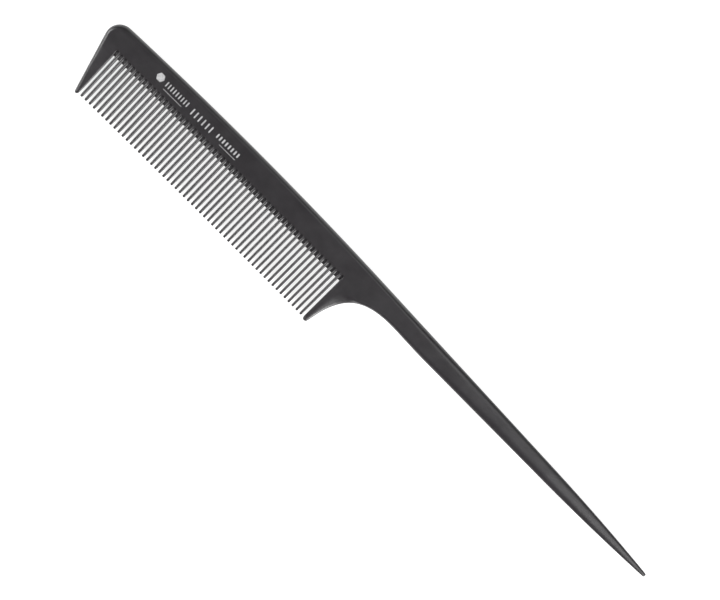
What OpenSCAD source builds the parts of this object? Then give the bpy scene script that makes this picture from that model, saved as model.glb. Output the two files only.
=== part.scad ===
// Rat tail comb: a flat one-piece moulded comb with fine teeth, two guard teeth and a long tapered tail.
// It lies flat: X runs from the toe to the tail tip, Y from the teeth to the back edge, Z is the thickness.
// The drawing frame starts at the toe, on the root line of the teeth and at half thickness.
// place() moves it to the part's origin.

/* [Comb] */
// Overall length, from the toe to the tail tip
overall_l = 225; // [210:1:240]
// Thickness of the head between its two flat faces
head_t = 3.4; // [3.2:0.1:4]

/* [Head] */
// Height of the back edge above the root line, where it is highest
spine_h = 10.2; // [9:0.1:12]
// Radius of the gentle arc of the back edge
back_r = 1300; // [1200:10:2500]
// Distance from the toe to the highest point of the back edge
crown_x = 52; // [45:1:60]
// Radius of the rounded toe corner
toe_r = 4.7; // [4:0.1:5]
// How far the rounding of the head's edges reaches in from the outline
edge_w = 1.3; // [0.8:0.1:1.6]
// Lean of the toe's outer edge, in degrees
toe_lean = 14; // [12:0.5:15]
// Thickness of the ink of the printed marks
ink_t = 0.05; // [0.02:0.01:0.1]

/* [Teeth] */
// Number of fine teeth between the two guard teeth
teeth_n = 55; // [45:1:55]
// Distance from one tooth to the next
pitch = 1.68; // [1.6:0.01:1.68]
// Width of a tooth at its root
tooth_w = 0.93; // [0.8:0.01:1]
// Width of a tooth at its tip
tooth_tip_w = 0.83; // [0.6:0.01:0.9]
// Thickness of a tooth at its root
tooth_t = 3; // [2.2:0.1:3]
// Thickness of a tooth at its tip
tooth_tip_t = 1.8; // [1:0.1:2]
// Length of the shortest tooth, in the middle of the row
tooth_l = 15.6; // [12:0.1:18]
// How much longer the teeth at the two ends of the row are
tooth_extra_l = 0.2; // [0:0.05:0.5]
// Distance from the toe to the middle of the first gap
first_gap_x = 6.6; // [6.5:0.05:7]
// Length of the sloped groove that runs out of each gap into the head's faces
groove_l = 2.5; // [2:0.1:3]
// Thickness of the web that the grooves of the two faces leave between them at the end of a gap
web_t = 1.8; // [1:0.1:2.2]

/* [Guard teeth] */
// Length of the two guard teeth
guard_l = 16.2; // [14:0.1:19]
// Thickness of a guard tooth at its tip
guard_tip_t = 2; // [1.4:0.1:2.8]
// Radius of the toe guard tooth's tip, seen from above
toe_tip_r = 0.66; // [0.56:0.02:0.7]
// Radius of the heel guard tooth's tip, seen from above
heel_tip_r = 0.86; // [0.76:0.02:0.9]

/* [Neck and tail] */
// Distance from the toe to the place where the tail's lower edge is highest
neck_x = 125; // [123:0.5:127]
// Height of the tail's lower edge there, above the root line
neck_y = 1.68; // [1.4:0.02:2]
// Length of the hollow curve between the heel guard and the tail, along the comb
hollow_l = 24.5; // [24:0.1:25]
// Depth of that curve, across the comb
hollow_h = 37.4; // [36:0.1:39]
// Squareness of that curve: 2 is an ellipse
hollow_n = 3.8; // [3.6:0.1:4]
// How far the lower edge settles back behind the neck
settle_h = 0.5; // [0.4:0.05:0.7]
// Radius of the arcs that draw the tail in to its tip
tip_arc_r = 735; // [700:5:900]
// Distance from the tail tip to the start of those arcs
tip_arc_l = 42; // [36:1:43]
// Thickness of the tail at the start of those arcs
tail_t = 2.7; // [2.2:0.1:3]
// Thickness of the tail at its tip
tail_tip_t = 0.9; // [0.7:0.1:1.2]

/* [Hidden] */
function tooth_name(i) = str("tooth_", i < 10 ? "0" : "", i);

$fn = 48;
carbon = "#3b3c3e";
carbon_light = "#4a4b4e";
ink = "#c9cacb";

// The gap between teeth, and the X of the first and last gap walls
gap_w = pitch - tooth_w;
row_x0 = first_gap_x - gap_w / 2;
row_x1 = first_gap_x + teeth_n * pitch + gap_w / 2;

// Where the hollow curve crosses the root line: the head ends and the tail starts there
head_l = hollow_x(0);
// Slope of the tail's back edge, which leaves the back arc on its tangent
tail_slope = -tan(asin((head_l - crown_x) / back_r));
// Centre of the back arc
back_c = [crown_x, spine_h - back_r];
// Centre of the toe corner, which touches the back arc on the inside, and where the leaning edge leaves it
toe_c = [toe_r, back_c[1] + sqrt((back_r - toe_r) ^ 2 - (crown_x - toe_r) ^ 2)];
toe_t = toe_c + toe_r * [-cos(toe_lean), -sin(toe_lean)];

// How far the gaps run into the head beyond the root line
gap_in = 0.28;
// Share of a groove's length, then of its depth, at which its floor turns up steeply
knee_l = 0.6;
knee_h = 0.18;

// Reach of the rounding along the toe guard tooth, and the length over which it changes to that,
// then the same for the heel guard tooth
toe_edge_w = 0.9;
toe_edge_l = 9;
heel_edge_w = 2.1;
heel_edge_l = 2;
// Largest share of a guard tooth's width that its rounding takes
guard_round = 0.8;
// Share of its thickness that a guard tooth loses over its rounded tip
guard_tip_thin = 0.2;

// Start and length of the stretch over which the tail's lower edge settles back
settle_x = 116;
settle_l = 18.5;
// How far the lower edge then falls away, evenly from the hollow to the tip
low_fall = 0.92;
// Where the tail's section has become one oval
oval_x = 165;
// The tail keeps the head's thickness over this share of the way to the tip arcs, then thins
full_share = 1 / 6;
// How far the rounded end of the tail reaches back
tail_end_r = 0.5;

// The rounded tips end in a small flat, at this angle of their rounding
tip_a = 80;
// Straight steps in an arc of the outline, and points around a section of the tail
arc_steps = 14;
tail_ring = 24;
// Cuts run this far beyond a face, so that they pass right through it
past = 1;

// Moves the drawing frame to the middle of the comb's box, with the lower face on Z = 0
module place() {
    translate([-overall_l / 2, (guard_l - spine_h) / 2, head_t / 2]) children();
}

// A smooth step from 0 to 1
function ease(t) = let (c = min(1, max(0, t))) c * c * (3 - 2 * c);

function arc(c, r, a0, a1) =
    [for (i = [0:arc_steps]) let (a = a0 + (a1 - a0) * i / arc_steps) c + r * [cos(a), sin(a)]];

// X of the toe's outer edge at height y, and X of the hollow curve at height y
function toe_x(y) = toe_t[0] + (toe_t[1] - y) * tan(toe_lean);
function hollow_x(y) =
    neck_x - hollow_l * (1 - (1 - (neck_y - y) / hollow_h) ^ hollow_n) ^ (1 / hollow_n);

// Height of the hollow curve at x, then of the tail's lower and back edges
function hollow_y(x) = let (u = max(0, neck_x - x) / hollow_l)
    neck_y - hollow_h * (1 - (1 - u ^ hollow_n) ^ (1 / hollow_n));
function tip_draw(x) = max(0, x - overall_l + tip_arc_l) ^ 2 / (2 * tip_arc_r);
function tail_low(x) = hollow_y(x) - settle_h * ease((x - settle_x) / settle_l)
    - low_fall * (x - head_l) / (overall_l - head_l) + tip_draw(x);
function back_y(x) = spine_h - back_r + sqrt(back_r ^ 2 - (x - crown_x) ^ 2);
function tail_back(x) = back_y(head_l) + tail_slope * (x - head_l) - tip_draw(x);
function tail_thick(x) =
    let (x1 = overall_l - tip_arc_l,
        x0 = head_l + full_share * (x1 - head_l))
    x < x1 ? head_t + (tail_t - head_t) * ease((x - x0) / (x1 - x0))
           : tail_t + (tail_tip_t - tail_t) * (x - x1) / tip_arc_l;

// Length of tooth i: the tips lie on a shallow arc
function tooth_len(i) = tooth_l + tooth_extra_l * pow((2 * i - teeth_n - 1) / (teeth_n - 1), 2);

// The head's outline above the root line, drawn in by d along its rounded edges
function head_outline(d) = let (
    a0 = 90 + asin((crown_x - toe_c[0]) / (back_r - toe_r)),
    a1 = 90 - asin((head_l - crown_x) / (back_r - d)),
    back = arc(back_c, back_r - d, a0, a1))
    concat([[head_l, 0]], [for (i = [arc_steps:-1:1]) back[i]],
        arc(toe_c, toe_r - d, a0, 180 + toe_lean), [[toe_x(0) + d / cos(toe_lean), 0]]);

// A solid skinned over a stack of rings, each with the same number of points
module loft(rings) {
    n = len(rings[0]);
    last = (len(rings) - 1) * n;
    polyhedron(
        points = [for (r = rings) for (p = r) p],
        faces = concat([[for (i = [0:n - 1]) i]], [[for (i = [0:n - 1]) last + n - 1 - i]],
            [for (r = [0:len(rings) - 2], i = [0:n - 1]) let (j = (i + 1) % n)
                each [[r * n + i, r * n + n + i, r * n + j], [r * n + j, r * n + n + i, r * n + n + j]]]));
}

// A cut w wide from x on, in both faces: the points give its floor line, as the height above the root line
// and above the middle plane, up to the point where it runs out in the face
module root_cut(x, w, floor_line) {
    top = head_t / 2 + past;
    line = concat(floor_line, [[groove_l, head_t / 2], [groove_l, top], [-past, top]]);
    for (side = [-1, 1])
        translate([x, 0, 0]) rotate([90, 0, 90]) linear_extrude(w)
            polygon([for (p = line) [p[0], side * p[1]]]);
}

module spine() {
    edge_steps = 8;
    knee = [gap_in + knee_l * (groove_l - gap_in), web_t / 2 + knee_h * (head_t - web_t) / 2];
    color(carbon) place() difference() {
        loft([for (k = [0:edge_steps]) let (a = -90 + 180 * k / edge_steps)
            [for (p = head_outline(edge_w * (1 - cos(a)))) [p[0], p[1], head_t / 2 * sin(a)]]]);
        // The faces slope down to the teeth's thickness
        root_cut(row_x0, row_x1 - row_x0, [[-past, tooth_t / 2], [0, tooth_t / 2]]);
        // The gaps end just inside the head and run out into the faces as grooves
        for (k = [0:teeth_n])
            root_cut(first_gap_x + k * pitch - gap_w / 2, gap_w,
                [[-past, -past], [gap_in, -past], [gap_in, web_t / 2], knee]);
    }
}

// One cross-section of a guard tooth: flat on the inner side, where side points, and rounded on the outer
function guard_section(y, inner, outer, side, tip_r) =
    let (into_tip = max(0, tip_r - guard_l - y) / tip_r,
        t = (head_t + (guard_tip_t - head_t) * -y / guard_l) / 2 * (1 - guard_tip_thin * into_tip ^ 2),
        reach = side > 0 ? edge_w + (toe_edge_w - edge_w) * ease(-y / toe_edge_l)
                         : edge_w + (heel_edge_w - edge_w) * ease(-y / heel_edge_l),
        edge = min(reach, guard_round * abs(outer - inner)))
    concat([[inner, y, -side * t], [inner, y, side * t]],
        [for (a = [90:-30:-90]) [outer + side * edge * (1 - cos(a)), y, side * t * sin(a)]]);

// A guard tooth, whose outer edge the list gives from the root line down, and its rounded tip
module guard_tooth(inner, edge, side, tip_r) {
    tip_steps = 5;
    tip_c = [inner - side * tip_r, tip_r - guard_l];
    loft(concat(
        [for (p = edge) guard_section(p[1], inner, p[0], side, tip_r)],
        [for (i = [0:tip_steps])
            let (a = tip_a * i / tip_steps,
                y = tip_c[1] - tip_r * sin(a) / sin(tip_a),
                half = side * tip_r * cos(a))
            guard_section(y, tip_c[0] + half, tip_c[0] - half, side, tip_r)]));
}

module toe_guard_tooth() {
    steps = 4;
    y1 = 1.5 * toe_tip_r - guard_l;
    edge = [for (i = [0:steps]) let (y = y1 * i / steps) [toe_x(y), y]];
    color(carbon) place() guard_tooth(row_x0, edge, 1, toe_tip_r);
}

module heel_guard_tooth() {
    steps = 20;
    y1 = 1.5 * heel_tip_r - guard_l;
    edge = [for (i = [0:steps]) let (y = y1 * (i / steps) ^ 2) [hollow_x(y), y]];
    color(carbon) place() guard_tooth(row_x1, edge, -1, heel_tip_r);
}

// A tooth is a tapered round pin with a ball end, flattened to the width of a tooth
module tooth(i) {
    l = tooth_len(i);
    side_r = tooth_tip_t / 2;
    end_r = tooth_tip_w / 2;
    color(carbon_light) place() translate([first_gap_x + (i - 0.5) * pitch, 0, 0]) intersection() {
        rotate([90, 0, 0]) {
            cylinder(h = l - side_r, r1 = tooth_t / 2, r2 = side_r);
            translate([0, 0, l - side_r]) sphere(side_r);
        }
        linear_extrude(tooth_t, center = true) {
            polygon([[-tooth_w / 2, 0], [-end_r, end_r - l], [end_r, end_r - l], [tooth_w / 2, 0]]);
            translate([0, end_r - l]) circle(end_r);
        }
    }
}

// One cross-section of the tail: two half ovals, drawn apart at the neck and joined into one oval behind it
function tail_section(x, shrink) =
    let (w = (tail_back(x) - tail_low(x)) / 2,
        edge = edge_w + (w - edge_w) * ease((x - head_l) / (oval_x - head_l)))
    [for (i = [0:tail_ring - 1]) let (a = (i + 0.5) * 360 / tail_ring)
        [x, (tail_back(x) + tail_low(x)) / 2 + shrink * ((w - edge) * sign(cos(a)) + edge * cos(a)),
            shrink * tail_thick(x) / 2 * sin(a)]];

module tail() {
    body_steps = 44;
    end_steps = 4;
    x_end = overall_l - tail_end_r;
    body = [for (i = [0:body_steps]) tail_section(head_l + (x_end - head_l) * i / body_steps, 1)];
    end = [for (i = [1:end_steps]) let (a = tip_a * i / end_steps)
        [for (p = tail_section(x_end, cos(a))) [x_end + tail_end_r * sin(a) / sin(tip_a), p[1], p[2]]]];
    color(carbon) place() loft(concat(body, end));
}

// A row of n upright bars from x0 to x1 and h high around y, each filling that share of its step
module bar_row(x0, x1, y, h, n, fill) {
    step = (x1 - x0) / n;
    for (i = [0:n - 1])
        translate([x0 + (i + 0.5 - fill / 2) * step, y - h / 2, head_t / 2]) cube([fill * step, h, ink_t]);
}

// Plain printed marks in light ink: a hexagon, three rows of bars and two thin lines, with no lettering
module print_marks() {
    line_y = 4;
    line_h = 0.14;
    color(ink) place() {
        translate([20.8, 5.95, head_t / 2]) cylinder(h = ink_t, d = 2.8, $fn = 6);
        bar_row(x0 = 23, x1 = 32.4, y = 5.8, h = 1.6, n = 9, fill = 0.33);
        bar_row(x0 = 23.6, x1 = 30.9, y = line_y, h = line_h, n = 1, fill = 1);
        bar_row(x0 = 33.6, x1 = 42.6, y = 5.4, h = 2.1, n = 6, fill = 0.28);
        bar_row(x0 = 43.9, x1 = 53.3, y = 5.6, h = 1.4, n = 8, fill = 0.42);
        bar_row(x0 = 46.5, x1 = 52.9, y = line_y, h = line_h, n = 1, fill = 1);
    }
}

spine();
toe_guard_tooth();
heel_guard_tooth();
tail();
print_marks();
for (i = [1:teeth_n])
    tooth(i);
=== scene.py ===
# Looks of the rat tail comb: a smooth moulded skin for each region of the comb, its carbon plastic, the
# printed ink, a pale floor, soft light and the camera. All shapes are worked out in millimetres in the comb's
# drawing frame, which has x from the toe along the comb, y from the root line to the back edge and z from
# half thickness.
import math

import bmesh
import bpy
import numpy as np
from mathutils import Euler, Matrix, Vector
from mathutils.kdtree import KDTree


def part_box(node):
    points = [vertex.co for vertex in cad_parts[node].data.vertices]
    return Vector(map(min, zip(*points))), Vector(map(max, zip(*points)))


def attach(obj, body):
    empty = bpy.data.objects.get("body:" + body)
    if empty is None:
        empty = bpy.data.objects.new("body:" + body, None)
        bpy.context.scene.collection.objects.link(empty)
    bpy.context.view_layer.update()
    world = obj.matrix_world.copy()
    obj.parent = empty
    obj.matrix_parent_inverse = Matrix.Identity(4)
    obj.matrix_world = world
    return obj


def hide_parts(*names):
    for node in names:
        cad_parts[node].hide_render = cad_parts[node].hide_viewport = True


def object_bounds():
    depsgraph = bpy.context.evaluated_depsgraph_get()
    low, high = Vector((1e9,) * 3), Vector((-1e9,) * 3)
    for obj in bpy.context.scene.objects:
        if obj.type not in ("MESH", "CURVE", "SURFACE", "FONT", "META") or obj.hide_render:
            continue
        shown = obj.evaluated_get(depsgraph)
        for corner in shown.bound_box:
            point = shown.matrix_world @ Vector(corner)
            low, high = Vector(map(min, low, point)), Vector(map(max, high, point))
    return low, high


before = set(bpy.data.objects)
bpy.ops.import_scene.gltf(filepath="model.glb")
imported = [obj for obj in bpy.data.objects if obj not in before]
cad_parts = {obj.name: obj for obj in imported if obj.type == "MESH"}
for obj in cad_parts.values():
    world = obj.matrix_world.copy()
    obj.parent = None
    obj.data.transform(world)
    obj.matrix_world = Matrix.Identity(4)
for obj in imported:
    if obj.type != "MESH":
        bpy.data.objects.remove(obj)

cad_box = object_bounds()

MM = 0.001
TEETH = [name for name in sorted(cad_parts) if name.startswith("tooth_")]

# ---- Sizes that the frame gives, in millimetres ----
head_lo, head_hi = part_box("spine")
toe_lo, toe_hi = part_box("toe_guard_tooth")
heel_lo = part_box("heel_guard_tooth")[0]
tail_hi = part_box("tail")[1]
first_lo, first_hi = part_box(TEETH[0])
ORIGIN = Vector((head_lo.x, head_lo.y, (head_lo.z + head_hi.z) / 2))

HALF_T = (head_hi.z - head_lo.z) / 2 / MM
SPINE_H = (head_hi.y - head_lo.y) / MM
HEAD_L = (head_hi.x - head_lo.x) / MM
OVERALL_L = (tail_hi.x - head_lo.x) / MM
GUARD_L = (head_lo.y - toe_lo.y) / MM
ROW_X0 = (toe_hi.x - head_lo.x) / MM
ROW_X1 = (heel_lo.x - head_lo.x) / MM
TOOTH_W = (first_hi.x - first_lo.x) / MM
TOOTH_HALF_T = (first_hi.z - first_lo.z) / 2 / MM
PITCH = (ROW_X1 - ROW_X0 + TOOTH_W) / (len(TEETH) + 1)
GAP_W = PITCH - TOOTH_W

# ---- Curves of the outline, which the design gives ----
BACK_R = 1300.0
CROWN_X = 52.0
TOE_R = 4.7
TOE_LEAN = math.radians(14)
NECK_X, NECK_Y = 125.0, 1.68
HOLLOW_L, HOLLOW_H, HOLLOW_N = 24.5, 37.4, 3.8
SETTLE_X, SETTLE_L, SETTLE_H = 116.0, 18.5, 0.5
LOW_FALL = 0.92
TIP_ARC_R, TIP_ARC_L = 735.0, 42.0
TAIL_END_R = 0.5
TAIL_HALF_T, TAIL_TIP_HALF_T = 1.35, 0.45
THIN_DELAY = 0.2
OVAL_X = 165.0
TOE_TIP_R, HEEL_TIP_R = 0.66, 0.86
GUARD_TIP_HALF_T = 1.0
GUARD_ROUND = 0.8
EDGE_W = 1.3
GROOVE_L = 2.5
GAP_IN = 0.28
WEB_HALF_T = 0.9
TOOTH_TIP_W = 0.83
TOOTH_TIP_HALF_T = 0.9

# ---- Finer shape of the skin, which only the looks need ----
TOE_EDGE_W, TOE_EDGE_L = 0.9, 9.0
HEEL_EDGE_W, HEEL_EDGE_L = 3.8, 2.5
HEEL_SQUARENESS = 1.4
HEEL_DRAFT, HEEL_DRAFT_L = 0.13, 9.0
SCOOP_N = 2.2
CROWN_H = 0.38
CROWN_FADE = 0.8
FLANK_IN = 0.015
INNER_R = 0.19
# How strongly the teeth and ribs take the paler colour, which stands in for their highlights: painted sheen
TOOTH_PAINTED_SHEEN = 1.0
LEAST_WALL = 0.01
NO_LIMIT = 99.0
WELD = 0.0004
SLIVER = 0.0002
SHARP_ANGLE = math.radians(38)

BACK_C = np.array([CROWN_X, SPINE_H - BACK_R])
TOE_C = np.array([TOE_R, BACK_C[1] + math.sqrt((BACK_R - TOE_R) ** 2 - (CROWN_X - TOE_R) ** 2)])
TOE_T = TOE_C - TOE_R * np.array([math.cos(TOE_LEAN), math.sin(TOE_LEAN)])
CORNER_A = math.pi / 2 + math.asin((CROWN_X - TOE_R) / (BACK_R - TOE_R))
TAIL_SLOPE = -math.tan(math.asin((HEAD_L - CROWN_X) / BACK_R))


def ease(t):
    """Smooth step from 0 to 1."""
    c = np.clip(t, 0.0, 1.0)
    return c * c * (3 - 2 * c)


def toe_x(y):
    """The toe's leaning outer edge."""
    return TOE_T[0] + (TOE_T[1] - y) * math.tan(TOE_LEAN)


def hollow_x(y):
    """The hollow curve between the heel guard tooth and the tail."""
    u = (1 - (NECK_Y - y) / HOLLOW_H) ** HOLLOW_N
    return NECK_X - HOLLOW_L * (1 - u) ** (1 / HOLLOW_N)


def hollow_y(x):
    """The same curve, as the lower edge of the neck."""
    u = np.clip((NECK_X - x) / HOLLOW_L, 0, 1)
    return NECK_Y - HOLLOW_H * (1 - (1 - u ** HOLLOW_N) ** (1 / HOLLOW_N))


def tip_draw(x):
    """How far each edge of the tail has drawn in towards the tip."""
    return np.clip(x - OVERALL_L + TIP_ARC_L, 0, None) ** 2 / (2 * TIP_ARC_R)


def back_y(x):
    """The back edge of the head and tail."""
    on_arc = SPINE_H - BACK_R + np.sqrt(BACK_R ** 2 - (np.minimum(x, HEAD_L) - CROWN_X) ** 2)
    return on_arc + TAIL_SLOPE * np.clip(x - HEAD_L, 0, None) - tip_draw(x)


def low_y(x):
    """The lower edge of the tail."""
    fall = LOW_FALL * (x - HEAD_L) / (OVERALL_L - HEAD_L)
    return hollow_y(x) - SETTLE_H * ease((x - SETTLE_X) / SETTLE_L) - fall + tip_draw(x)


def tail_half_t(x):
    """Half thickness along the middle of the tail."""
    x1 = OVERALL_L - TIP_ARC_L
    along = (x - HEAD_L) / (x1 - HEAD_L)
    body = HALF_T + (TAIL_HALF_T - HALF_T) * ease(along * (1 + THIN_DELAY) - THIN_DELAY)
    tip = TAIL_HALF_T + (TAIL_TIP_HALF_T - TAIL_HALF_T) * (x - x1) / TIP_ARC_L
    return np.where(x < x1, body, tip)


# ---- Distance from the rounded outer edge ----
def arc(centre, radius, angles):
    """Points on a circle."""
    return [centre + radius * np.array([math.cos(a), math.sin(a)]) for a in angles]


def outer_edge():
    """The outline from the toe guard's inner wall, round the toe, back and tail, to the heel guard's tip."""
    step = 0.05
    toe_tip = np.array([ROW_X0 - TOE_TIP_R, TOE_TIP_R - GUARD_L])
    heel_tip = np.array([ROW_X1 + HEEL_TIP_R, HEEL_TIP_R - GUARD_L])
    points = arc(toe_tip, TOE_TIP_R, np.linspace(0, -math.pi + TOE_LEAN, 60))
    points += [(toe_x(y), y) for y in np.arange(toe_tip[1] + step, TOE_T[1], step)]
    points += arc(TOE_C, TOE_R, np.linspace(math.pi + TOE_LEAN, CORNER_A, 160))
    x_end = OVERALL_L - TAIL_END_R
    xs = np.arange(points[-1][0] + step, x_end, step)
    points += list(zip(xs, back_y(xs)))
    mid, half = (back_y(x_end) + low_y(x_end)) / 2, (back_y(x_end) - low_y(x_end)) / 2
    points += [(x_end + TAIL_END_R * math.cos(t), mid + half * math.sin(t))
               for t in np.linspace(math.pi / 2, -math.pi / 2, 40)]
    xs = np.arange(x_end, HEAD_L, -step)
    points += list(zip(xs, low_y(xs)))
    ys = -np.arange(0, -heel_tip[1], step)
    points += list(zip(hollow_x(ys), ys))
    points += arc(heel_tip, HEEL_TIP_R, np.linspace(0, -math.pi, 60))
    return np.array([tuple(p) for p in points])


EDGE = outer_edge()
EDGE_TREE = KDTree(len(EDGE))
for index, point in enumerate(EDGE):
    EDGE_TREE.insert((point[0], point[1], 0), index)
EDGE_TREE.balance()


def edge_distance(x, y):
    """Distance of plan points from the outer edge, measured to the outline's own segments."""
    near = np.array([EDGE_TREE.find((px, py, 0))[1] for px, py in zip(x, y)])
    p = np.stack([x, y], 1)
    best = np.full(len(p), np.inf)
    for a, b in ((near - 1, near), (near, near + 1)):
        a, b = EDGE[np.clip(a, 0, len(EDGE) - 1)], EDGE[np.clip(b, 0, len(EDGE) - 1)]
        ab = b - a
        t = np.clip(((p - a) * ab).sum(1) / np.maximum((ab * ab).sum(1), 1e-12), 0, 1)
        best = np.minimum(best, np.hypot(*(p - a - ab * t[:, None]).T))
    return best


# ---- The skin's height over the plan ----
def crown(u):
    """Drop of a tooth's rounded face, u from 0 at its middle to 1 at its flanks."""
    return CROWN_H * (1 - np.sqrt(1 - np.clip(u, 0, 1) ** 2))


def groove_floor(y):
    """Half thickness left under the groove at the end of a gap, scooped up to the head's face."""
    u = np.clip((y - GAP_IN) / (GROOVE_L - GAP_IN), 0, 1) ** SCOOP_N
    return WEB_HALF_T + (HALF_T - WEB_HALF_T) * (1 - (1 - u) ** (1 / SCOOP_N))


def height(x, y):
    """Half thickness of the moulding at plan points, and 0 to 1 for how near the outer edge they are."""
    half = np.where(x > HEAD_L, tail_half_t(x), HALF_T)
    half = np.where(y < 0, HALF_T + (GUARD_TIP_HALF_T - HALF_T) * -y / GUARD_L, half)
    width = np.where(x > HEAD_L, (back_y(x) - low_y(x)) / 2, NO_LIMIT)
    reach = np.where(x > HEAD_L, EDGE_W + (width - EDGE_W) * ease((x - HEAD_L) / (OVAL_X - HEAD_L)), EDGE_W)
    reach = np.minimum(reach, width)
    guard_y = np.clip(y, HEEL_TIP_R - GUARD_L, 0)
    guard_w = np.where(x < CROWN_X, ROW_X0 - toe_x(guard_y), hollow_x(guard_y) - ROW_X1)
    toe_reach = EDGE_W + (TOE_EDGE_W - EDGE_W) * ease(-y / TOE_EDGE_L)
    heel_reach = EDGE_W + (HEEL_EDGE_W - EDGE_W) * ease(-y / HEEL_EDGE_L)
    guard_reach = np.where(x < CROWN_X, toe_reach, heel_reach)
    reach = np.where(y < 0, np.minimum(guard_reach, GUARD_ROUND * guard_w), reach)
    d = edge_distance(x, y)
    draft = HEEL_DRAFT * ease(-y / HEEL_DRAFT_L) * np.clip(guard_w - d, 0, guard_w - reach)
    half = np.where((y < 0) & (x > CROWN_X), half - draft, half)
    d = d / reach
    squareness = 2 + np.where(x > CROWN_X, HEEL_SQUARENESS * ease(-y / GUARD_L), 0)
    z = half * np.clip(1 - np.clip(1 - d, 0, 1) ** squareness, 0, 1) ** (1 / squareness)
    return z, np.clip(1 - d, 0, 1)


def row_height(x, y):
    """height() with the root slopes, the teeth's crowned ribs and the grooves of the tooth row."""
    z, edge = height(x, y)
    gap = np.clip(np.round((x - ROW_X0 - GAP_W / 2) / PITCH), 0, len(TEETH))
    off = np.abs(x - (ROW_X0 + GAP_W / 2 + gap * PITCH))
    in_row = (x > ROW_X0 + GAP_W / 2) & (x < ROW_X1 - GAP_W / 2)
    fade = 1 - ease((y - GROOVE_L + CROWN_FADE) / CROWN_FADE)
    slope = (HALF_T - TOOTH_HALF_T) * (1 - ease((y - GROOVE_L + 2 * CROWN_FADE) / (2 * CROWN_FADE)))
    rib = z - np.where(in_row, slope + crown((PITCH / 2 - off) / (TOOTH_W / 2)) * fade, 0)
    q = np.clip((GAP_W / 2 + FLANK_IN + INNER_R - off) / INNER_R, 0, 1)
    rib = np.where(in_row, rib, rib - INNER_R * (1 - np.sqrt(1 - q * q)) * fade)
    floor = groove_floor(y)
    rib = np.where(off < PITCH / 2, np.maximum(rib, np.minimum(floor, z)), rib)
    z = np.where((y < GROOVE_L) & (off < GAP_W / 2), np.minimum(z, floor), np.where(y < GROOVE_L, rib, z))
    # The second value is the sheen-and-wear mask: nearness to the outer edge, raised to full painted sheen on
    # the crowned ribs
    return z, np.where(in_row & (off > GAP_W / 2), np.maximum(edge, TOOTH_PAINTED_SHEEN * fade), edge)


# ---- Mesh making ----
def to_row(points):
    return [Vector((x, y, z)) * MM + ORIGIN for x, y, z in points]


def finish_mesh(name, verts, faces, sheen_and_wear_values, node_names):
    """A closed, welded, smooth-shaded mesh that stands for CAD nodes and rides on the comb's one body."""
    bm = bmesh.new()
    sheen_and_wear_mask = bm.verts.layers.float.new("sheen_and_wear_mask")
    made = []
    for co, value in zip(to_row(verts), sheen_and_wear_values):
        v = bm.verts.new(co)
        v[sheen_and_wear_mask] = value
        made.append(v)
    for face in faces:
        bm.faces.new([made[i] for i in face])
    bmesh.ops.remove_doubles(bm, verts=bm.verts, dist=WELD * MM)
    bmesh.ops.dissolve_degenerate(bm, edges=bm.edges, dist=SLIVER * MM)
    bmesh.ops.recalc_face_normals(bm, faces=bm.faces)
    mesh = bpy.data.meshes.new(name)
    bm.to_mesh(mesh)
    bm.free()
    for polygon in mesh.polygons:
        polygon.use_smooth = True
    mesh.set_sharp_from_angle(angle=SHARP_ANGLE)
    piece = bpy.data.objects.new(name, mesh)
    bpy.context.scene.collection.objects.link(piece)
    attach(piece, "root")
    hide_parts(*node_names)
    piece.data.materials.append(CARBON)


def plate(name, points, heights, open_sides, node_names):
    """A piece over columns of plan points, the same above and below, closed by walls along its open sides."""
    x, y = points[..., 0].T, points[..., 1].T
    rows, cols = x.shape
    z, edge = heights(x.ravel(), y.ravel())
    z = z.reshape(rows, cols)
    outline = np.zeros_like(z, bool)
    sides = {"first_row": (0, slice(None)), "last_row": (-1, slice(None)),
             "first_col": (slice(None), 0), "last_col": (slice(None), -1)}
    for side, where in sides.items():
        if side not in open_sides:
            outline[where] = True
    z[outline] = 0.0
    top = np.stack([x.ravel(), y.ravel(), z.ravel()], 1)
    bottom = top * np.array([1, 1, -1])
    count = rows * cols
    index = np.arange(count).reshape(rows, cols)
    faces = []
    for r in range(rows - 1):
        for c in range(cols - 1):
            quad = (index[r, c], index[r, c + 1], index[r + 1, c + 1], index[r + 1, c])
            faces.append(quad)
            faces.append(tuple(i + count for i in reversed(quad)))
    for side in open_sides:
        line = index[sides[side]]
        for a, b in zip(line[:-1], line[1:]):
            faces.append((a, b, b + count, a + count))
    finish_mesh(name, np.concatenate([top, bottom]), faces, np.concatenate([edge, edge]), node_names)


def loft(name, rings, sheen_and_wear_values, node_names):
    """A piece skinned over rings of the same number of points, closed at both ends."""
    n = len(rings[0])
    verts = np.concatenate(rings)
    faces = [tuple(range(n)), tuple(range((len(rings) - 1) * n, len(rings) * n))]
    for r in range(len(rings) - 1):
        for i in range(n):
            j = (i + 1) % n
            faces.append((r * n + i, r * n + j, (r + 1) * n + j, (r + 1) * n + i))
    finish_mesh(name, verts, faces, sheen_and_wear_values, node_names)


# ---- Grids over the plan ----
RIM = [EDGE_W * (1 - math.cos(math.radians(a))) for a in (90, 78, 69, 60, 51, 42, 33, 24, 16, 8, 0)]
SAMPLES = np.linspace(0, 1, 121)
RIM_SHARE = 0.9
LOW_SHARE = 0.7


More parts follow.
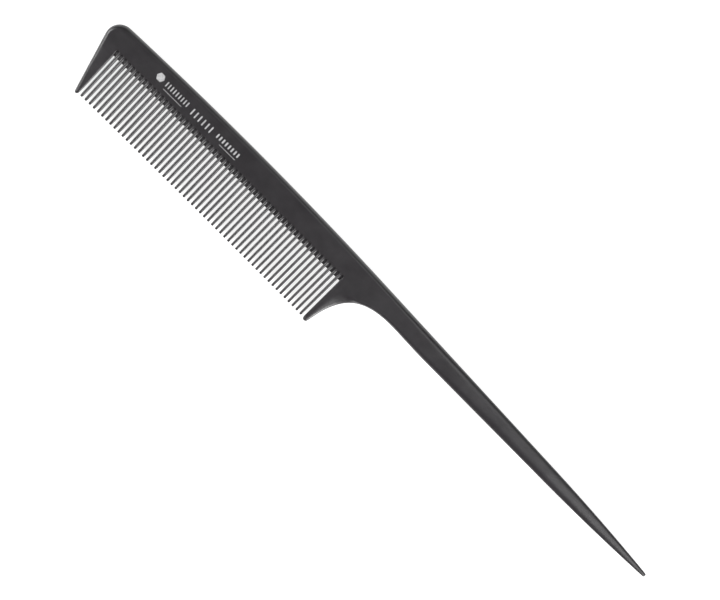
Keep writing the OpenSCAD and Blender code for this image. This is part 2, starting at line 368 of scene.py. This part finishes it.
def rays(starts, ends, low, count):
    """Columns of points from the starts to the ends on the outline: first at the low distances from the
    start, then evenly spaced, then at the rim's distances from the outline. Short columns squeeze both."""
    starts, ends = np.asarray(starts, float), np.asarray(ends, float)
    along = starts[:, None] + (ends - starts)[:, None] * SAMPLES[None, :, None]
    d = edge_distance(along[..., 0].ravel(), along[..., 1].ravel()).reshape(len(starts), -1)
    low = np.asarray(low, float)
    columns = []
    for a, b, row in zip(starts, ends, d):
        length = max(np.hypot(*(b - a)), 1e-9)
        rising = np.maximum.accumulate(row[::-1])
        reach = min(1.0, RIM_SHARE * rising[-1] / EDGE_W)
        t_rim = 1 - np.interp([r * reach for r in RIM], rising, SAMPLES)
        fit = min(1.0, LOW_SHARE * t_rim[0] * length / max(low[-1], 1e-9))
        t_low = low * fit / length
        t_mid = np.linspace(t_low[-1], t_rim[0], count + 2)[1:-1]
        t = np.concatenate([t_low, t_mid, t_rim])
        t[-1] = 1.0
        columns.append(a + (b - a) * t[:, None])
    return np.array(columns)


# ---- Materials ----
FLOOR_GLOW = 0.88
# Paler colour for the edges, teeth and ribs: partly edge wear, partly painted sheen standing in for
# highlights
EDGE_SHEEN_AND_WEAR = (0.046, 0.0445, 0.046, 1)
CARBON_IOR = 1.6


def new_material(name):
    material = bpy.data.materials.new(name)
    material.use_nodes = True
    tree = material.node_tree
    return material, tree.nodes, tree.links, tree.nodes["Principled BSDF"]


def noise(nodes, links, coords, scale, detail=3.0, rough=0.5):
    node = nodes.new("ShaderNodeTexNoise")
    node.inputs["Scale"].default_value = scale
    node.inputs["Detail"].default_value = detail
    node.inputs["Roughness"].default_value = rough
    links.new(coords.outputs["Object"], node.inputs["Vector"])
    return node.outputs["Fac"]


def ramp(nodes, links, fac, stops):
    """A colour ramp of two stops."""
    node = nodes.new("ShaderNodeValToRGB")
    for element, (position, colour) in zip(node.color_ramp.elements, stops):
        element.position, element.color = position, (*colour, 1)
    links.new(fac, node.inputs["Fac"])
    return node.outputs["Color"]


def span(nodes, links, fac, low, high, from_min=0.3, from_max=0.7):
    """A value mapped from one range to another; the usual noise lies between 0.3 and 0.7."""
    node = nodes.new("ShaderNodeMapRange")
    node.inputs["From Min"].default_value = from_min
    node.inputs["From Max"].default_value = from_max
    node.inputs["To Min"].default_value = low
    node.inputs["To Max"].default_value = high
    links.new(fac, node.inputs["Value"])
    return node.outputs["Result"]


def bump(nodes, links, height_out, distance, strength, under=None):
    node = nodes.new("ShaderNodeBump")
    node.inputs["Strength"].default_value = strength
    node.inputs["Distance"].default_value = distance
    links.new(height_out, node.inputs["Height"])
    if under:
        links.new(under, node.inputs["Normal"])
    return node.outputs["Normal"]


def carbon_plastic():
    """Charcoal carbon-filled resin with a faint mottle, a fine grain and a paler colour on the edges, teeth
    and ribs, which is partly edge wear and partly painted sheen standing in for their highlights.
    """
    material, nodes, links, shader = new_material("carbon_plastic_moulded")
    coords = nodes.new("ShaderNodeTexCoord")
    mottle = noise(nodes, links, coords, 420, 4, 0.6)
    colour = ramp(nodes, links, mottle, [(0.3, (0.0168, 0.0151, 0.0171)), (0.7, (0.0232, 0.0208, 0.0234))])
    # The paler colour follows the mesh's sheen-and-wear mask: wear near the outer edge, and painted sheen on
    # the edges, teeth and ribs
    edge = nodes.new("ShaderNodeAttribute")
    edge.attribute_name = "sheen_and_wear_mask"
    patches = span(nodes, links, noise(nodes, links, coords, 700, 3), 0.0, 1.0, 0.42, 0.62)
    sheen_and_wear = nodes.new("ShaderNodeMath")
    sheen_and_wear.operation = "MULTIPLY"
    links.new(span(nodes, links, edge.outputs["Fac"], 0.0, 0.35, 0.55, 1.0), sheen_and_wear.inputs[0])
    links.new(patches, sheen_and_wear.inputs[1])
    # In a colour mix, inputs 6 and 7 are its two colours and output 2 is its result
    mix = nodes.new("ShaderNodeMix")
    mix.data_type = "RGBA"
    links.new(sheen_and_wear.outputs[0], mix.inputs["Factor"])
    links.new(colour, mix.inputs[6])
    mix.inputs[7].default_value = EDGE_SHEEN_AND_WEAR
    links.new(mix.outputs[2], shader.inputs["Base Color"])
    gloss = span(nodes, links, noise(nodes, links, coords, 160, 3), 0.31, 0.38)
    links.new(gloss, shader.inputs["Roughness"])
    grain = bump(nodes, links, noise(nodes, links, coords, 5200, 2), 0.00002, 0.25)
    waves = bump(nodes, links, noise(nodes, links, coords, 130, 1), 0.00006, 0.12, grain)
    links.new(waves, shader.inputs["Normal"])
    shader.inputs["IOR"].default_value = CARBON_IOR
    return material


def print_ink():
    """Thin pad-printed ink in light grey, a little uneven where it has worn."""
    material, nodes, links, shader = new_material("print_ink_light")
    coords = nodes.new("ShaderNodeTexCoord")
    wear = noise(nodes, links, coords, 1500, 4, 0.65)
    colour = ramp(nodes, links, wear, [(0.3, (0.34, 0.34, 0.345)), (0.6, (0.5, 0.5, 0.505))])
    links.new(colour, shader.inputs["Base Color"])
    links.new(span(nodes, links, wear, 0.62, 0.5), shader.inputs["Roughness"])
    grain = bump(nodes, links, noise(nodes, links, coords, 6000, 2), 0.00001, 0.3)
    links.new(grain, shader.inputs["Normal"])
    return material


def studio_floor():
    """A smooth pale table top, lit softly from within like a light table."""
    material, nodes, links, shader = new_material("studio_floor_pale")
    coords = nodes.new("ShaderNodeTexCoord")
    tones = [(0.3, (0.42, 0.42, 0.42)), (0.7, (0.44, 0.44, 0.44))]
    tone = ramp(nodes, links, noise(nodes, links, coords, 6, 2), tones)
    links.new(tone, shader.inputs["Base Color"])
    gloss = span(nodes, links, noise(nodes, links, coords, 30, 2), 0.75, 0.85)
    links.new(gloss, shader.inputs["Roughness"])
    shader.inputs["Emission Color"].default_value = (1, 1, 1, 1)
    shader.inputs["Emission Strength"].default_value = FLOOR_GLOW
    return material


CARBON = carbon_plastic()

# ---- Spine: columns fan out from the root line to the toe, then stand across to the back ----
FAN_W = 0.9
INSIDE_GAP = 0.004
PLAIN_STEP = 0.25
edge_ys = np.linspace(0, TOE_T[1], 10)
corner_as = np.linspace(math.pi + TOE_LEAN, CORNER_A, 30)[1:]
fan_ends = [(toe_x(y), y) for y in edge_ys] + arc(TOE_C, TOE_R, corner_as)
fan_x = fan_ends[-1][0]
fan_starts = [(x, 0) for x in np.linspace(fan_x - FAN_W, fan_x, len(fan_ends))]

# Columns on both sides of each gap, closer together where a tooth's crown falls away to its flank
crown_us = (0.985, 0.94, 0.86, 0.75, 0.6, 0.4, 0.2, 0)
half_gap = [GAP_W / 2 - INSIDE_GAP, GAP_W / 2 + FLANK_IN] + [(PITCH - u * TOOTH_W) / 2 for u in crown_us[1:]]
row_xs = [x for k in range(len(TEETH) + 1) for c in [ROW_X0 + GAP_W / 2 + k * PITCH]
          for x in [c - h for h in reversed(half_gap[:-1])] + [c + h for h in half_gap]]
row_xs = [x for x in row_xs if x < ROW_X1 + 0.7 * PITCH]
plain_xs = np.arange(row_xs[-1] + 0.3, HEAD_L - 0.1, PLAIN_STEP)
back_xs = sorted({round(x, 5) for x in row_xs} | {round(x, 5) for x in plain_xs} | {HEAD_L})
back_xs = [x for x in back_xs if x > fan_x + 0.05]
starts = fan_starts + [(x, 0) for x in back_xs]
ends = fan_ends + [(x, float(back_y(x))) for x in back_xs]
root_rows = [0, GAP_IN, 0.6, 0.9, 1.2, 1.45, 1.7, 1.9, 2.1, 2.25, 2.35, 2.42, 2.47, GROOVE_L, 2.8]
points = rays(starts, ends, root_rows, 5)
# The gaps run a little past the root line, so the columns over them start there
over_gap = np.abs((points[:, 0, 0] - ROW_X0 - GAP_W / 2 + PITCH / 2) % PITCH - PITCH / 2) < GAP_W / 2
over_gap &= (points[:, 0, 0] > ROW_X0) & (points[:, 0, 0] < ROW_X1)
points[over_gap, :, 1] = np.maximum(points[over_gap, :, 1], GAP_IN)
plate("spine_moulding", points, row_height, ("first_row", "first_col", "last_col"), ["spine"])

# ---- Guard teeth: columns run from the inner wall to the outer edge, and turn round the tip ----
tip_as = np.radians([0, 12, 24, 36, 48, 60, 70, 79, 86, 90])
guard_low = [0, 0.03 * INNER_R, 0.12 * INNER_R, 0.35 * INNER_R, 0.65 * INNER_R, INNER_R]


def guard(name, inner, edge_of, bend, side, tip_r, node_name):
    """A guard tooth with its inner wall at x = inner, which faces the tail if side is 1 and the toe if -1."""
    tip = np.array([inner - side * tip_r, tip_r - GUARD_L])
    reach = np.array([side * tip_r, 0])
    ys = tip[1] * np.linspace(0, 1, 90)[:-1] ** bend
    middles = [tip - (0, tip_r * math.sin(a)) for a in tip_as]
    halves = [reach * math.cos(a) for a in tip_as]
    starts = [(inner, y) for y in ys] + [middle + half for middle, half in zip(middles, halves)]
    ends = [(edge_of(y), y) for y in ys] + [middle - half for middle, half in zip(middles, halves)]

    def guard_height(x, y):
        z, edge = height(x, y)
        q = np.clip((INNER_R - side * (inner - x)) / INNER_R, 0, 1)
        return np.maximum(z - INNER_R * (1 - np.sqrt(1 - q * q)), LEAST_WALL), edge

    points = rays(starts, ends, guard_low, 5)
    plate(name, points, guard_height, ("first_row", "first_col"), [node_name])


guard("toe_guard_tooth_moulding", ROW_X0, toe_x, 1.0, 1, TOE_TIP_R, "toe_guard_tooth")
guard("heel_guard_tooth_moulding", ROW_X1, hollow_x, 1.7, -1, HEEL_TIP_R, "heel_guard_tooth")

# ---- Tail: columns run across from the lower to the back edge, through the middle ----
NECK_END = 128
x_end = OVERALL_L - TAIL_END_R
tail_xs = np.concatenate([np.linspace(HEAD_L, NECK_END, 80)[:-1], np.linspace(NECK_END, x_end, 110)])
tip_turn = np.radians([15, 30, 45, 58, 70, 80, 87, 90])
# Each column has its x, the x where its width is taken, and how far it shrinks round the blunt end
tail_cols = [(x, x, 1.0) for x in tail_xs]
tail_cols += [(x_end + TAIL_END_R * math.sin(a), x_end, math.cos(a)) for a in tip_turn]
mids = [((x, (back_y(at) + low_y(at)) / 2), (back_y(at) - low_y(at)) / 2 * shrink)
        for x, at, shrink in tail_cols]
starts = [m for m, _ in mids]
lower = rays(starts, [(m[0], m[1] - half) for m, half in mids], [0, 0.1], 6)
upper = rays(starts, [(m[0], m[1] + half) for m, half in mids], [0, 0.1], 6)
points = np.concatenate([lower[:, ::-1], upper[:, 1:]], axis=1)
plate("tail_moulding", points, height, ("first_col",), ["tail"])

# ---- Fine teeth: rings from the root to the rounded tip, closer together at the tip ----
tip_steps = [0.65, 0.52, 0.4, 0.3, 0.2, 0.12, 0.06, 0.02, 0.004]
quarter = [(u, 1 - float(crown(u)) / TOOTH_HALF_T) for u in reversed(crown_us)] + [(1.0, 0.0)]
upper_half = [(-u, v) for u, v in reversed(quarter)] + quarter[1:]
ring = np.array(upper_half + [(u, -v) for u, v in reversed(upper_half[1:-1])])
for name in TEETH:
    lo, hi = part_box(name)
    length = (hi.y - lo.y) / MM
    centre = ((lo.x + hi.x) / 2 - ORIGIN.x) / MM
    rings = []
    values = []
    for from_tip in list(np.linspace(length, TOOTH_TIP_HALF_T, 12)) + tip_steps:
        along = 1 - from_tip / length
        w = TOOTH_W / 2 + (TOOTH_TIP_W / 2 - TOOTH_W / 2) * along
        t = TOOTH_HALF_T + (TOOTH_TIP_HALF_T - TOOTH_HALF_T) * along
        w *= math.sqrt(1 - max(0, 1 - from_tip / (TOOTH_TIP_W / 2)) ** 2)
        t *= math.sqrt(1 - max(0, 1 - from_tip / TOOTH_TIP_HALF_T) ** 2)
        y = np.full(len(ring), from_tip - length)
        rings.append(np.stack([centre + ring[:, 0] * w, y, ring[:, 1] * t], 1))
        # Every tooth takes the full paler colour all over: painted sheen
        values += [TOOTH_PAINTED_SHEEN] * len(ring)
    loft(name + "_moulding", rings, values, [name])

# ---- Printed marks keep their CAD shape ----
ink = print_ink()
for slot in bpy.data.objects["print_marks"].material_slots:
    slot.material = ink

# ---- Floor ----
FLOOR_HALF = 4.0
floor_bm = bmesh.new()
bmesh.ops.create_grid(floor_bm, x_segments=8, y_segments=8, size=FLOOR_HALF)
floor_mesh = bpy.data.meshes.new("studio_floor")
floor_bm.to_mesh(floor_mesh)
floor_bm.free()
floor = bpy.data.objects.new("studio_floor", floor_mesh)
floor.location.z = cad_box[0].z
floor.data.materials.append(studio_floor())
bpy.context.scene.collection.objects.link(floor)


# ---- Lights ----
def softbox(name, location, width, depth, power):
    """A rectangular soft light aimed at the middle of the comb."""
    data = bpy.data.lights.new(name, "AREA")
    data.shape = "RECTANGLE"
    data.size, data.size_y = width, depth
    data.energy = power
    lamp = bpy.data.objects.new(name, data)
    lamp.location = location
    lamp.rotation_euler = (-Vector(location)).to_track_quat("-Z", "Y").to_euler()
    bpy.context.scene.collection.objects.link(lamp)


softbox("softbox_tail_low", (0.939, -0.448, 0.358), 0.35, 0.5, 9.8)
softbox("softbox_tail_high", (0.604, -0.03, 0.895), 0.92, 0.5, 7.6)
softbox("softbox_toe_low", (-0.94, -0.244, 0.517), 0.5, 0.5, 7.8)
softbox("softbox_toe_high", (-0.481, -0.622, 0.77), 0.5, 0.5, 2.1)
softbox("softbox_back", (0.044, 0.649, 0.887), 0.5, 0.5, 1.6)

world = bpy.data.worlds.new("studio_room")
world.use_nodes = True
room = world.node_tree.nodes["Background"]
room.inputs["Color"].default_value = (1.0, 0.99, 1.0, 1)
room.inputs["Strength"].default_value = 0.06
bpy.context.scene.world = world

# ---- Camera ----
AIM = Vector((-0.004845, 0.003288, 0.0017))
DISTANCE = 0.6206
# The comb lies at 45 degrees in the picture, and the camera looks down on it with a slight tilt
LIE = math.radians(45)
TILT = (math.radians(-15.79), math.radians(-2.22), math.radians(0.52))
turn = Euler(TILT).to_matrix() @ Euler((0, 0, LIE)).to_matrix()
camera_data = bpy.data.cameras.new("camera")
camera_data.lens = 105.66
camera_data.sensor_width = 36
camera_data.clip_start = 0.01
camera = bpy.data.objects.new("camera", camera_data)
camera.rotation_euler = turn.to_euler()
camera.location = AIM + turn @ Vector((0, 0, DISTANCE))
bpy.context.scene.collection.objects.link(camera)
bpy.context.scene.camera = camera
bpy.context.scene.view_settings.view_transform = "Standard"
